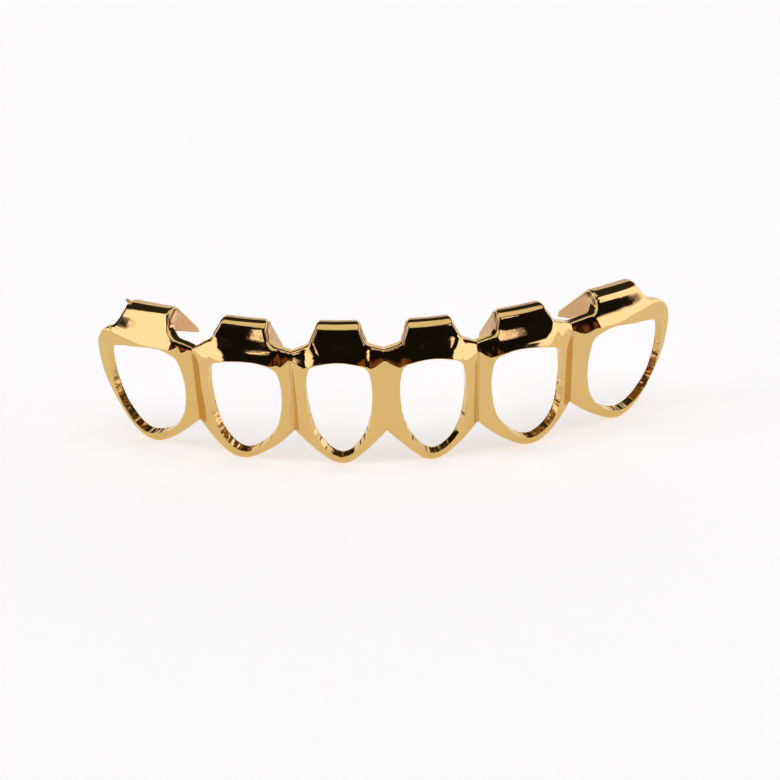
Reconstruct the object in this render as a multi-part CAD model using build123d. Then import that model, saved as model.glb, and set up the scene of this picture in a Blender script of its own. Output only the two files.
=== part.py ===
from build123d import *
import os
from math import cos, hypot, radians, sin, tan
from typing import NamedTuple

# Lower row of six open-face tooth covers, cast in one piece. Millimetres and degrees.
# The row stands on the low points of its rims, biting edge up, labial faces towards -Y.

# Arch, seen from above
ARCH_RADIUS = 23.0             # labial faces, at the height of the rims
GROOVE_DEPTH = 0.8             # grooves between caps, behind the arch radius
INNER_GROOVE_ANGLE = 14.9
OUTER_GROOVE_ANGLE = 31.5
LEFT_END_ANGLE = 50.9
RIGHT_END_ANGLE = 52.7

# Sheet
WALL = 0.6
FLANK_WALL = 0.4               # thinner where the face turns back to a groove
FACE_LEAN = 6.0                # the faces lean outwards on their way up

# Heights above the ground
NOTCH_HEIGHT = 1.9             # underside of each groove
SHOULDER_HEIGHT = 7.8          # where a shoulder meets the side of its tab
CREASE_RISE = 0.2              # crease at the foot of each tab, above the shoulders
BAND_TOP_RUN = 0.8             # the band under the crease, in two slopes
BAND_FOOT_RUN = 0.7
CREASE_HEIGHT = SHOULDER_HEIGHT + CREASE_RISE
BAND_BEND_HEIGHT = CREASE_HEIGHT - BAND_TOP_RUN
BAND_FOOT_HEIGHT = BAND_BEND_HEIGHT - BAND_FOOT_RUN

# Slopes of the side view, measured backwards from upright
BAND_FOOT_TILT = 20.0
BAND_TOP_TILT = 38.0
TAB_TILT = 31.0

# Rounding of the side view
BAND_FOOT_RADIUS = 1.2
BAND_BEND_RADIUS = 2.0
CREST_RADIUS = 0.75

# Tab and hook
TAB_FLARE = 0.6                # each side of a tab spreads by this from crest to shoulder
TAB_CORNER_RADIUS = 0.3
SHOULDER_RADIUS = 0.9
HOOK_ROOT = 0.05               # a hook narrows from this far behind the crest
HOOK_EDGE = 0.25               # height of the edge at its tip
HOOK_TAPER = 0.15              # each side of a hook closes by this towards its tip
HOOK_TIP_RADIUS = 0.35
CHEEK = 0.35                   # metal that closes both sides between a tab and its hook

# Windows
WINDOW_FLOOR = 0.52            # metal left under each window
WINDOW_CROWN = 0.14            # how far the top of a window rises between its corners
WINDOW_CORNER = 1.0            # height of its top corners

# Free ends of the row
END_SLOPE = 4.0                # an end cap's band, crease and crest fall outwards
END_SETBACK = 0.4              # free edge, behind its face
END_SHOULDER_DROP = 0.5        # the outer shoulder of an end cap is lower by this
END_CORNER_DROP = 0.95         # its outer corner, below the shoulders
END_CORNER_HEIGHT = SHOULDER_HEIGHT - END_CORNER_DROP
END_HIP_HEIGHT = SHOULDER_HEIGHT / 2   # where the rim has become the end
END_SIDE_HEIGHT = END_HIP_HEIGHT * 1.3
END_CORNER_RADIUS = END_CORNER_HEIGHT - END_SIDE_HEIGHT

# Casting nub on the outer corner of the left end tab
SPUR_RADIUS = 0.13
SPUR_ROOT = 0.30
SPUR_LENGTH = 0.22
SPUR_TURN = -60.0              # from upright, outwards

REACH = 40.0                   # longer than any cut through the row
MARGIN = 1.0                   # how far a cut runs past the metal


class Mark(NamedTuple):
    """A point of a curve, as shares of how far the whole curve goes across and up."""

    across: float
    up: float


# From the low point of a rim out to a groove, and out to a free end
RIM_CURVE = [Mark(0.16, 0.04), Mark(0.31, 0.17), Mark(0.54, 0.44), Mark(0.77, 0.72)]
END_CURVE = [Mark(0.12, 0.02), Mark(0.25, 0.08), Mark(0.42, 0.20), Mark(0.62, 0.42), Mark(0.80, 0.68), Mark(0.93, 0.94)]
# From the low point of a window out to its side
WINDOW_CURVE = [Mark(0.27, 0.055), Mark(0.52, 0.19), Mark(0.725, 0.35), Mark(0.87, 0.55), Mark(0.96, 0.78)]
# From a side of a window in to its flat top, as shares of the corner's height
CORNER_CURVE = [Mark(0.0, 0.0), Mark(0.24, 0.67), Mark(0.85, 0.98)]


class Cap(NamedTuple):
    """One cap. Places run along its face from the middle of the cap, positive to the right."""

    left_angle: float          # groove or free edge, as an angle on the arch
    right_angle: float
    facing: float              # direction of the face, on the arch
    window_left: float
    window_right: float
    window_low: float          # where the window reaches lowest
    left_waist_height: float   # where the sides of the window start to close
    right_waist_height: float
    top_left_drop: float       # top corners of the window, below the shoulders
    top_right_drop: float
    crest_left: float
    crest_right: float
    crest_rise: float          # in the middle of the cap, above the shoulders
    hook_reach: float          # backwards from the crest
    hook_tilt: float           # slope of the hook, measured backwards from upright
    cheek_drop: float          # foot of the cheeks, below the shoulders
    rim_low: float             # where the rim touches the ground
    left_sag: float            # how far each side of the rim sags below its curve
    right_sag: float
    left_groove_drop: float    # top of each groove, below the shoulders
    right_groove_drop: float


CAPS = [
    Cap(
        -LEFT_END_ANGLE, -OUTER_GROOVE_ANGLE, -41.2, -2.70, 3.30, 0.10, 4.6, 3.0, 1.65, 1.15,
        -1.60, 1.75, 1.03, 2.65, 136.0, 0.30, 0.40, 0.00, 0.20, 0.00, 0.88,
    ),
    Cap(
        -OUTER_GROOVE_ANGLE, -INNER_GROOVE_ANGLE, -23.2, -2.00, 2.75, 0.05, 3.8, 3.9, 1.26, 1.16,
        -1.28, 1.45, 1.19, 3.00, 138.0, 0.60, -0.15, 0.00, 0.17, 0.88, 0.52,
    ),
    Cap(
        -INNER_GROOVE_ANGLE, 0.0, -7.45, -1.90, 2.10, 0.15, 3.8, 4.0, 1.00, 1.00,
        -1.15, 1.27, 1.27, 2.80, 138.0, 0.60, 0.15, 0.00, 0.00, 0.52, 0.37,
    ),
    Cap(
        0.0, INNER_GROOVE_ANGLE, 7.45, -2.05, 2.00, -0.10, 3.9, 3.7, 1.00, 1.03,
        -1.22, 1.30, 1.23, 2.75, 138.0, 0.60, -0.20, 0.00, 0.00, 0.37, 0.43,
    ),
    Cap(
        INNER_GROOVE_ANGLE, OUTER_GROOVE_ANGLE, 23.2, -2.60, 2.20, 0.00, 4.0, 3.1, 1.12, 1.32,
        -1.50, 1.38, 1.15, 3.15, 134.0, 0.80, 0.05, 0.17, 0.00, 0.43, 0.43,
    ),
    Cap(
        OUTER_GROOVE_ANGLE, RIGHT_END_ANGLE, 41.4, -3.00, 3.50, 0.00, 3.0, 4.0, 1.25, 1.90,
        -1.62, 1.75, 0.86, 3.30, 129.0, 1.15, -0.20, 0.20, 0.00, 0.43, 0.00,
    ),
]


def rise_per_step(tilt: float) -> tuple[float, float]:
    """Unit step backwards and up along a slope of the side view."""
    return sin(radians(tilt)), cos(radians(tilt))


def crossing(point_a: tuple, step_a: tuple, point_b: tuple, step_b: tuple) -> tuple[float, float]:
    """Point where two lines cross, each given by a point and a step."""
    (ax, ay), (dx, dy), (bx, by), (ex, ey) = point_a, step_a, point_b, step_b
    along = ((bx - ax) * ey - (by - ay) * ex) / (dx * ey - dy * ex)
    return ax + along * dx, ay + along * dy


def shifted(corners: list, shifts: list) -> list:
    """Corners of a closed outline after each side, listed anticlockwise, moves inwards by its own shift."""
    lines = []
    for i, (x, y) in enumerate(corners):
        next_x, next_y = corners[(i + 1) % len(corners)]
        length = hypot(next_x - x, next_y - y)
        step = ((next_x - x) / length, (next_y - y) / length)
        lines.append(((x - step[1] * shifts[i], y + step[0] * shifts[i]), step))
    return [crossing(*lines[i - 1], *lines[i]) for i in range(len(lines))]


def is_free(angle: float) -> bool:
    """Whether an edge of a cap is a free end of the row."""
    return angle in (-LEFT_END_ANGLE, RIGHT_END_ANGLE)


def fall(cap: Cap) -> float:
    """Slope of a cap's crest, in degrees, positive where it falls to the right."""
    return END_SLOPE * (is_free(cap.right_angle) - is_free(cap.left_angle))


def crest_height(cap: Cap) -> float:
    """Height of a cap's crest, in the middle of the cap."""
    return SHOULDER_HEIGHT + cap.crest_rise


def lean_at(height: float) -> float:
    """How far forwards the faces have leant at a height."""
    return height * tan(radians(FACE_LEAN))


def edge_place(cap: Cap, angle: float, height: float) -> tuple[float, float]:
    """Groove or free edge of a cap at a height, in the cap's own plan: along the face, and back from it."""
    radius = ARCH_RADIUS - GROOVE_DEPTH + lean_at(height)
    turn = radians(angle - cap.facing)
    back = END_SETBACK - lean_at(height) if is_free(angle) else ARCH_RADIUS - radius * cos(turn)
    return radius * sin(turn), back


def plan(cap: Cap, height: float, wall: float) -> Face:
    """Level section of a cap's face and flanks, filled behind them, with its front drawn in by its walls."""
    left_edge = edge_place(cap, cap.left_angle, height)
    right_edge = edge_place(cap, cap.right_angle, height)
    ahead = -lean_at(height)
    left_turn = tan(radians(cap.left_angle - cap.facing))
    right_turn = tan(radians(cap.right_angle - cap.facing))
    depth = ARCH_RADIUS / 2
    corners = [
        left_edge,
        (cap.window_left, ahead),
        (cap.window_right, ahead),
        right_edge,
        (right_edge[0] - (depth - right_edge[1]) * right_turn, depth),
        (left_edge[0] - (depth - left_edge[1]) * left_turn, depth),
    ]
    flank, past = (FLANK_WALL, -MARGIN) if wall else (0.0, 0.0)
    outline = shifted(corners, [flank, wall, flank, past, past, past])
    return Plane.XY.offset(height) * make_face(Polyline(*outline, close=True))


def plan_body(cap: Cap, wall: float) -> Part:
    """Everything behind a cap's face and flanks, from under the rims to above the crest."""
    past = MARGIN + wall
    return loft([plan(cap, -past, wall), plan(cap, crest_height(cap) + past, wall)], ruled=True)


def profile_corners(cap: Cap) -> tuple[list, float]:
    """Corners of the side view, listed anticlockwise, and how far back the crest is."""
    under = -2 * MARGIN
    foot = (-lean_at(BAND_FOOT_HEIGHT), BAND_FOOT_HEIGHT)
    step = rise_per_step(BAND_FOOT_TILT)
    bend = crossing(foot, step, (0, BAND_BEND_HEIGHT), (1, 0))
    crease = crossing(bend, rise_per_step(BAND_TOP_TILT), (0, CREASE_HEIGHT), (1, 0))
    tab = rise_per_step(TAB_TILT)
    inside = (crease[0] + CREST_RADIUS * tab[1], crease[1] - CREST_RADIUS * tab[0])
    centre = crossing(inside, tab, (0, crest_height(cap) - CREST_RADIUS), (1, 0))
    hook = rise_per_step(cap.hook_tilt)
    hook_start = (centre[0] - CREST_RADIUS * hook[1], centre[1] + CREST_RADIUS * hook[0])
    apex = crossing(crease, tab, hook_start, hook)
    hook_end = crossing(hook_start, hook, (0, under), (1, 0))
    front_end = crossing(foot, rise_per_step(-FACE_LEAN), (0, under), (1, 0))
    return [front_end, hook_end, apex, crease, bend, foot], centre[0]


def profile_body(cap: Cap, wall: float) -> Part:
    """Everything under the sheet's side view, as wide as any cap, drawn in by a wall."""
    corners, _ = profile_corners(cap)
    past = -MARGIN if wall else 0.0
    outline = shifted(corners, [past, wall, wall, wall, wall, wall])
    crest = max(CREST_RADIUS - wall, 0.0)
    radii = [0, 0, crest, 0, BAND_BEND_RADIUS - wall, BAND_FOOT_RADIUS - wall]
    side_view = make_face(FilletPolyline(*outline, radius=radii, close=True))
    return Rot(0, fall(cap), 0) * extrude(Plane.YZ * side_view, REACH / 2, both=True)


def rim_side(cap: Cap, angle: float, sag: float) -> list:
    """Points of a cap's rim, from its low point out to one edge of the cap."""
    foot = edge_place(cap, angle, NOTCH_HEIGHT)[0]
    curve, height = (END_CURVE, END_HIP_HEIGHT) if is_free(angle) else (RIM_CURVE, NOTCH_HEIGHT)
    points = []
    for mark in [*curve, Mark(1.0, 1.0)]:
        sunk = 6.75 * sag * mark.across ** 2 * (1 - mark.across)
        points.append((cap.rim_low + (foot - cap.rim_low) * mark.across, height * mark.up - sunk))
    if is_free(angle):
        points[-1] = (foot, END_SIDE_HEIGHT)
    return points


def shoulder_side(cap: Cap, angle: float, groove_drop: float, crest: float, side: int) -> tuple[list, list]:
    """Corners and radii of the front view from a cap's edge over the shoulder to the crest."""
    foot = edge_place(cap, angle, NOTCH_HEIGHT)[0]
    tab_foot = crest + side * TAB_FLARE
    if is_free(angle):
        corners = [(foot, END_SIDE_HEIGHT), (foot, END_CORNER_HEIGHT)]
        corners += [(tab_foot, SHOULDER_HEIGHT - END_SHOULDER_DROP)]
        radii = [0, END_CORNER_RADIUS, SHOULDER_RADIUS]
    else:
        groove_top = edge_place(cap, angle, SHOULDER_HEIGHT - groove_drop)[0]
        past_drop = groove_drop * (1 + MARGIN / abs(groove_top - tab_foot))
        corners = [(foot + side * MARGIN, NOTCH_HEIGHT + MARGIN)]
        corners += [(groove_top + side * MARGIN, SHOULDER_HEIGHT - past_drop), (tab_foot, SHOULDER_HEIGHT)]
        radii = [0, 0, SHOULDER_RADIUS]
    top = crest_height(cap) - crest * tan(radians(fall(cap)))
    return [*corners, (crest, top)], [*radii, TAB_CORNER_RADIUS]


def front_outline(cap: Cap) -> Face:
    """Front view of a cap: rim, edges, shoulders and tab."""
    left_rim = rim_side(cap, cap.left_angle, cap.left_sag)
    right_rim = rim_side(cap, cap.right_angle, cap.right_sag)
    right, right_radii = shoulder_side(cap, cap.right_angle, cap.right_groove_drop, cap.crest_right, 1)
    left, left_radii = shoulder_side(cap, cap.left_angle, cap.left_groove_drop, cap.crest_left, -1)
    rim = Spline(*left_rim[::-1], (cap.rim_low, 0), *right_rim)
    if not is_free(cap.right_angle):
        right, right_radii = [right_rim[-1], *right], [0, *right_radii]
    if not is_free(cap.left_angle):
        left, left_radii = [left_rim[-1], *left], [0, *left_radii]
    over = FilletPolyline(*right, *left[::-1], radius=[*right_radii, *left_radii[::-1]][1:-1])
    return make_face([rim, over])


def window(cap: Cap) -> Face:
    """Front view of a cap's window."""
    tops = (SHOULDER_HEIGHT - cap.top_left_drop, SHOULDER_HEIGHT - cap.top_right_drop)
    sides = [
        (cap.window_right, cap.right_waist_height, tops[1], 1),
        (cap.window_left, cap.left_waist_height, tops[0], -1),
    ]
    halves = []
    for place, waist, top, side in sides:
        half = [
            (cap.window_low + (place - cap.window_low) * mark.across, WINDOW_FLOOR + (waist - WINDOW_FLOOR) * mark.up)
            for mark in [*WINDOW_CURVE, Mark(1.0, 1.0)]
        ]
        half += [
            (place - side * WINDOW_CORNER * mark.across, top - WINDOW_CORNER * (1 - mark.up)) for mark in CORNER_CURVE
        ]
        halves.append(half)
    crown = ((cap.window_left + cap.window_right) / 2, sum(tops) / 2 + WINDOW_CROWN)
    outline = Spline((cap.window_low, WINDOW_FLOOR), *halves[0], crown, *halves[1][::-1], periodic=True)
    return make_face(outline)


def through(front_view: Face) -> Part:
    """A front view carried through the whole sheet."""
    return extrude(Plane.XZ * front_view, REACH / 2, both=True)


def through_face(cap: Cap, front_view: Face) -> Part:
    """A front view carried through the face alone, as far back as the crest."""
    _, crest_back = profile_corners(cap)
    return Pos(0, crest_back, 0) * extrude(Plane.XZ * front_view, REACH / 2)


def tongue(cap: Cap, inset: float) -> Face:
    """Plan of a tab and its hook, with the sides moved in."""
    _, crest_back = profile_corners(cap)
    left, right, tip = cap.crest_left + inset, cap.crest_right - inset, crest_back + cap.hook_reach
    corners = [
        (left, -2 * MARGIN),
        (right, -2 * MARGIN),
        (right, crest_back),
        (right - HOOK_TAPER, tip),
        (left + HOOK_TAPER, tip),
        (left, crest_back),
    ]
    radius = max(HOOK_TIP_RADIUS - inset, 0.0)
    return make_face(FilletPolyline(*corners, radius=[0, 0, 0, radius, radius, 0], close=True))


def split_at_hook(cap: Cap) -> tuple[Part, Part]:
    """What lies above and below a slope from the foot of a tab to the tip of its hook, the last behind the crest."""
    corners, crest_back = profile_corners(cap)
    _, hook_end, apex, crease, _, _ = corners
    tip_back = crest_back + cap.hook_reach
    foot = (crease[0] + WALL / 2, SHOULDER_HEIGHT - cap.cheek_drop)
    tip = crossing(hook_end, (apex[0] - hook_end[0], apex[1] - hook_end[1]), (tip_back, 0), (0, 1))
    slope = (tip[0] - foot[0], tip[1] - HOOK_EDGE - foot[1])
    start = crossing(foot, slope, (foot[0] - MARGIN, 0), (0, 1))
    behind = crossing(foot, slope, (crest_back, 0), (0, 1))
    end = crossing(foot, slope, (tip[0] + MARGIN, 0), (0, 1))
    above = [start, end, (end[0], REACH / 2), (start[0], REACH / 2)]
    below = [(behind[0], 0), (end[0], 0), end, behind]
    width = cap.crest_right - cap.crest_left + 2 * MARGIN
    middle = (cap.crest_right + cap.crest_left) / 2
    turn = Rot(0, fall(cap), 0)
    return (
        turn * extrude(Plane.YZ * make_face(Polyline(*above, close=True)), REACH / 2, both=True),
        Pos(middle, 0, 0) * turn * extrude(Plane.YZ * make_face(Polyline(*below, close=True)), width / 2, both=True),
    )


def beside_hook(cap: Cap) -> Part:
    """What is cut away around a hook: a block behind the crest with the hook's tongue left out of it."""
    _, crest_back = profile_corners(cap)
    block_face = Pos(0, crest_back + HOOK_ROOT + REACH / 2) * Rectangle(REACH, REACH)
    low = crest_height(cap) + (cap.hook_reach + WALL) / tan(radians(cap.hook_tilt)) - WALL
    return Pos(0, 0, low) * extrude(block_face - tongue(cap, 0), crest_height(cap))


def beyond_hook(cap: Cap) -> Part:
    """Everything further back than the tip of a hook."""
    _, crest_back = profile_corners(cap)
    return Pos(0, crest_back + cap.hook_reach + REACH / 2, 0) * Box(REACH, REACH, REACH)


def spur(cap: Cap) -> Part:
    """Casting nub on the left side of a tab, rooted in the metal just under the crest."""
    _, crest_back = profile_corners(cap)
    root = Pos(cap.crest_left + SPUR_ROOT, crest_back - CREST_RADIUS / 2, crest_height(cap) - CREST_RADIUS / 2)
    stem = Cylinder(SPUR_RADIUS, SPUR_ROOT + SPUR_LENGTH, align=(Align.CENTER, Align.CENTER, Align.MIN))
    return root * Rot(0, SPUR_TURN, 0) * stem


def make_cap(cap: Cap) -> Part:
    """One cap in place on the arch."""
    outer = plan_body(cap, 0) & profile_body(cap, 0)
    inner = plan_body(cap, WALL) & profile_body(cap, WALL)
    above_slope, below_slope = split_at_hook(cap)
    cheeks = extrude(tongue(cap, 0) - tongue(cap, CHEEK), REACH / 2) & above_slope
    inner -= cheeks
    shape = (outer - inner) & through(front_outline(cap))
    shape = shape - through_face(cap, window(cap)) - beside_hook(cap) - beyond_hook(cap) - below_slope
    if is_free(cap.left_angle):
        shape += spur(cap)
    return Rot(0, 0, cap.facing) * Pos(0, -ARCH_RADIUS, 0) * shape


def main() -> None:
    """Fuses the six caps and writes the row."""
    row = Part() + [make_cap(cap) for cap in CAPS]
    box = row.bounding_box()
    row = Pos(-box.center().X, -box.center().Y, -box.min.Z) * row
    row.label = "tooth_cover"
    os.makedirs("parts", exist_ok=True)
    export_step(row, "parts/tooth_cover.step")
    print("size", box.size, "centre", box.center(), "volume", round(row.volume, 2), "solids", len(row.solids()))


main()
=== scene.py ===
"""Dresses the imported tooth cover: six open-face caps in one polished, gold plated casting.

Sizes are in millimetres and degrees, and meshes are turned to metres where they are made. Every cap is
drawn in its own frame, with x along its face to the right, y backwards from the face and z up.
"""

import logging
import math
from dataclasses import dataclass, field
from enum import Enum
from typing import NamedTuple

import bmesh
import bpy
import numpy as np
from mathutils import Matrix, Vector

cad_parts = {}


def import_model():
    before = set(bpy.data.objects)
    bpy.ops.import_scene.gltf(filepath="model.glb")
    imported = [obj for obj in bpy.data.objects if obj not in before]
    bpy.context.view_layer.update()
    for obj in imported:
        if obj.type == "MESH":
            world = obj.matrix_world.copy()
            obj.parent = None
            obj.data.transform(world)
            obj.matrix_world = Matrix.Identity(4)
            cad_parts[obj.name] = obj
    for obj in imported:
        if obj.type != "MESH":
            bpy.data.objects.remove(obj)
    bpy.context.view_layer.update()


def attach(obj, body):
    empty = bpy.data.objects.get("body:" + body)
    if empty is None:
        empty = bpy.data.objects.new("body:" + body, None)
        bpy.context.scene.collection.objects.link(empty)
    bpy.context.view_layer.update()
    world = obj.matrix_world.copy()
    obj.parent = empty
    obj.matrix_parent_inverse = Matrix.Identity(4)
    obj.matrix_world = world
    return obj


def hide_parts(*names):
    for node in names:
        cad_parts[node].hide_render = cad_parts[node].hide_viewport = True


MM = 0.001
log = logging.getLogger("tooth_cover")

Points = np.ndarray

# How finely the mesh is drawn, as numbers of rows, points or steps.
TAB_ROWS = 12
CREST_ROWS = 16
HOOK_ROWS = 14
TIP_ROWS = 9
RIM_COUNT = 76
GROOVE_COUNT = 30
SHOULDER_COUNT = 22
CREASE_COUNT = 28
FACE_ROWS = 13
EDGE_STEPS = 4
WALL_STEPS = 4
CHEEK_COUNT = 12
CHEEK_ROWS = 6
SATIN_ROW = TAB_ROWS + 8
SPLINE_STEPS = 14

# Rounded corners turn by about so many degrees a step, in no fewer than so many steps.
ARC_STEP = 4.0
LEAST_ARC_STEPS = 3

# Millimetres below which two points are one.
TINY = 1e-9
# Cross product of two lines below which they are parallel.
PARALLEL = 1e-12
# Metres within which vertices are merged.
MERGE_DISTANCE = 1e-7

# The curve a * a * (1 - a) is 4 / 27 high at its highest.
SAG_SCALE = 27 / 4
# Share of a wall's depth that a rounded edge may take.
EDGE_SHARE = 0.4
# Clearance of a groove from the free edges at its ends, in radii of those edges.
GROOVE_REACH = 1.3
# How strongly the narrowing of the inner skin gathers towards the grooves.
SQUEEZE_POWER = 4


class Side(Enum):
    """The two sides of a cap, seen from the front."""

    LEFT = -1
    RIGHT = 1

    def pick(self, left: object, right: object) -> object:
        """The one of two things that belongs to this side."""
        return right if self is Side.RIGHT else left


class Skin(Enum):
    """The two surfaces of the sheet."""

    OUTER = 0
    INNER = 1


class Finish(Enum):
    """Material slots of the row, in order."""

    PLATE = 0
    FILED = 1
    SATIN = 2
    # Finish of the inner skin, whose dark colour is partly painted shade of the inside of the caps.
    CAST = 3


def linear(hex_colour: str) -> tuple[float, float, float, float]:
    """Turns an sRGB hex colour to linear RGBA.

    Args:
        hex_colour: six hex digits, with or without a leading hash.

    Returns:
        Linear red, green, blue and an alpha of one.
    """
    digits = hex_colour.lstrip("#")
    channels = [int(digits[i:i + 2], 16) / 255 for i in (0, 2, 4)]
    lit = [c / 12.92 if c <= 0.04045 else ((c + 0.055) / 1.055) ** 2.4 for c in channels]
    return (*lit, 1.0)


def add_node(
    tree: bpy.types.NodeTree, kind: str, settings: dict | None = None, **links: object
) -> bpy.types.Node:
    """Adds one shader node with its settings, values and links.

    Args:
        tree: node tree to add to.
        kind: Blender's name of the node type.
        settings: properties of the node, such as an operation.
        links: input name, with underscores for spaces, or in0, in1 for inputs by place, to a value or a
            socket that feeds it.

    Returns:
        The new node.
    """
    made = tree.nodes.new(kind)
    for name, value in (settings or {}).items():
        setattr(made, name, value)
    for name, value in links.items():
        key = int(name[2:]) if name.startswith("in") and name[2:].isdigit() else name.replace("_", " ")
        socket = made.inputs[key]
        if isinstance(value, bpy.types.NodeSocket):
            tree.links.new(value, socket)
        else:
            socket.default_value = value
    return made


def ramp(distance: Points, width: float) -> Points:
    """Smooth ramp: nothing before zero and the distance after it, rounded over a width each side."""
    middle = (distance + width) ** 2 / (4 * width)
    return np.where(distance < -width, 0.0, np.where(distance > width, distance, middle))


def soft_max(a: Points, b: Points, width: float) -> Points:
    """Larger of two surfaces, rounded where they are nearer to each other than a width."""
    near = np.maximum(width - np.abs(a - b), 0.0) / width
    return np.maximum(a, b) + near * near * width / 4


def eased(share: Points) -> Points:
    """Share from zero to one, with a soft start and a soft end."""
    return share * share * (3 - 2 * share)


def crossing(point_a: tuple, step_a: tuple, point_b: tuple, step_b: tuple) -> tuple[float, float]:
    """Point where two lines in a plane cross.

    Args:
        point_a: a point of the first line.
        step_a: its direction.
        point_b: a point of the second line.
        step_b: its direction.

    Returns:
        The point, as two numbers.
    """
    (ax, ay), (dx, dy), (bx, by), (ex, ey) = point_a, step_a, point_b, step_b
    along = ((bx - ax) * ey - (by - ay) * ex) / (dx * ey - dy * ex)
    return ax + along * dx, ay + along * dy


def smooth_line(points: list, closed: bool = False) -> Points:
    """Cubic spline through points, drawn with short steps.

    Args:
        points: points in order.
        closed: whether the last point leads back to the first.

    Returns:
        Points along the spline. A closed one doesn't repeat its first point.
    """
    line = np.array(points, float)
    laps = len(line)
    if closed:
        line = np.vstack([line, line, line, line[:1]])
    gaps = np.linalg.norm(np.diff(line, axis=0), axis=1)
    slopes = np.diff(line, axis=0) / gaps[:, None]
    system, wanted = np.eye(len(line)), np.zeros_like(line)
    for i in range(1, len(line) - 1):
        system[i, i - 1:i + 2] = gaps[i - 1], 2 * (gaps[i - 1] + gaps[i]), gaps[i]
        wanted[i] = 6 * (slopes[i] - slopes[i - 1])
    bends = np.linalg.solve(system, wanted)
    drawn = []
    for i in range(laps, 2 * laps) if closed else range(len(gaps)):
        t = np.linspace(0, gaps[i], SPLINE_STEPS, endpoint=False)[:, None]
        slope = slopes[i] - gaps[i] * (2 * bends[i] + bends[i + 1]) / 6
        change = bends[i + 1] - bends[i]
        drawn.append(line[i] + t * slope + t ** 2 * bends[i] / 2 + t ** 3 * change / (6 * gaps[i]))
    if not closed:
        drawn.append(line[-1:])
    return np.vstack(drawn)


def rounded(corners: list, radii: list, closed: bool = False) -> Points:
    """Polyline with its corners rounded by arcs.

    Args:
        corners: corner points in order.
        radii: radius of each corner, zero where it stays sharp.
        closed: whether the last corner leads back to the first.

    Returns:
        Points along the rounded line.
    """
    count = len(corners)
    line = []
    for i, radius in enumerate(radii):
        here = np.array(corners[i], float)
        if radius <= 0 or (not closed and i in (0, count - 1)):
            line.append(here)
            continue
        before = np.array(corners[i - 1], float) - here
        after = np.array(corners[(i + 1) % count], float) - here
        before_step, after_step = before / np.linalg.norm(before), after / np.linalg.norm(after)
        half = math.acos(float(np.clip(before_step @ after_step, -1, 1))) / 2
        reach = radius / math.tan(half)
        middle = before_step + after_step
        centre = here + middle / np.linalg.norm(middle) * radius / math.sin(half)
        start = here + before_step * reach - centre
        end = here + after_step * reach - centre
        turn = math.atan2(start[0] * end[1] - start[1] * end[0], float(start @ end))
        steps = max(LEAST_ARC_STEPS, int(abs(math.degrees(turn)) / ARC_STEP))
        for angle in np.linspace(0, turn, steps + 1):
            c, s = math.cos(angle), math.sin(angle)
            line.append(centre + np.array((c * start[0] - s * start[1], s * start[0] + c * start[1])))
    return np.array(line)


def respaced(line: Points, count: int) -> Points:
    """Spaces points evenly along a line.

    Args:
        line: points of the line, in order.
        count: how many points to give.

    Returns:
        The new points, from the line's first to its last.
    """
    steps = np.linalg.norm(np.diff(line, axis=0), axis=1)
    keep = np.concatenate([[True], steps > TINY])
    line = line[keep]
    along = np.concatenate([[0.0], np.cumsum(np.linalg.norm(np.diff(line, axis=0), axis=1))])
    wanted = np.linspace(0, along[-1], count)
    return np.stack([np.interp(wanted, along, line[:, k]) for k in range(line.shape[1])], axis=1)


def left_normals(line: Points) -> Points:
    """Unit normals of an open line in a plane.

    Args:
        line: points of the line, in order.

    Returns:
        For each point, the normal to the left of the line's direction.
    """
    steps = np.gradient(line, axis=0)
    steps /= np.linalg.norm(steps, axis=1)[:, None]
    return np.stack([-steps[:, 1], steps[:, 0]], axis=1)


def mix(a: Points, b: Points, share: float) -> Points:
    """Straight blend of two sets of points."""
    return a + (b - a) * share


def turned_edge(near: Points, corner: Points, beyond: Points, steps: int) -> list[Points]:
    """Rounds an edge with rows of points.

    Args:
        near: row on the surface, before the edge.
        corner: row along the sharp edge.
        beyond: row on the wall, after the edge.
        steps: how many rows to give.

    Returns:
        The rows from the surface to the wall, without the first.
    """
    rows = []
    for share in np.linspace(0, 1, steps + 1)[1:]:
        rows.append(mix(mix(near, corner, share), mix(corner, beyond, share), share))
    return rows


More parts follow.
